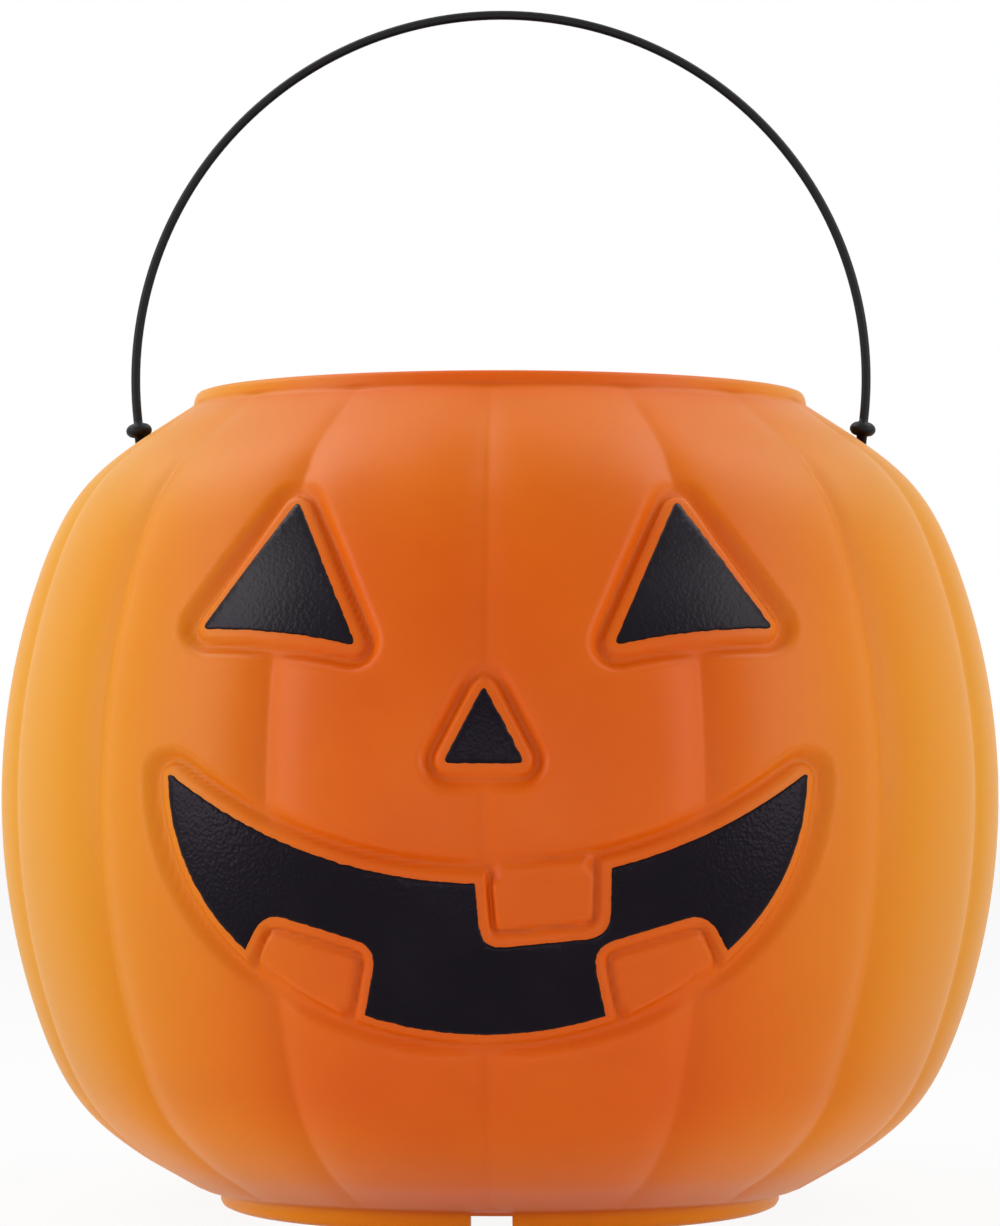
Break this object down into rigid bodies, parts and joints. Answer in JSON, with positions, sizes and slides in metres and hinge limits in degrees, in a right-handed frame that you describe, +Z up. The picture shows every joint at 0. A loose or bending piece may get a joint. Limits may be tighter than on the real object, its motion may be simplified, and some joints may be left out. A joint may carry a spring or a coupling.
{
  "type": "pumpkin candy pail",
  "caption": "Orange plastic pumpkin candy pail with a black jack-o'-lantern face and a thin black swinging carry handle.",
  "frame": {"origin": "on the ground, under the middle of the foot ring", "axes": "+Z up, -Y towards the viewer that the face looks at, +X to the right of the face as seen by that viewer"},
  "size_m": [0.2158, 0.2158, 0.2599],
  "materials": {
    "orange_shell": "satin, as blown polyethylene is",
    "face_paint": "black paint with a soft sheen",
    "handle_plastic": "satin black moulding"
  },
  "bodies": {
    "pail": {"pail_shell": "orange_shell", "left_eye_paint": "face_paint", "right_eye_paint": "face_paint", "nose_paint": "face_paint", "mouth_paint": "face_paint"},
    "handle": {"carry_handle": "handle_plastic"}
  },
  "joints": [
    {"name": "handle_swing", "type": "hinge", "parent": "pail", "child": "handle", "pos_m": [0, 0, 0.16332], "axis": [1, 0, 0], "range_deg": [-30, 30]}
  ]
}
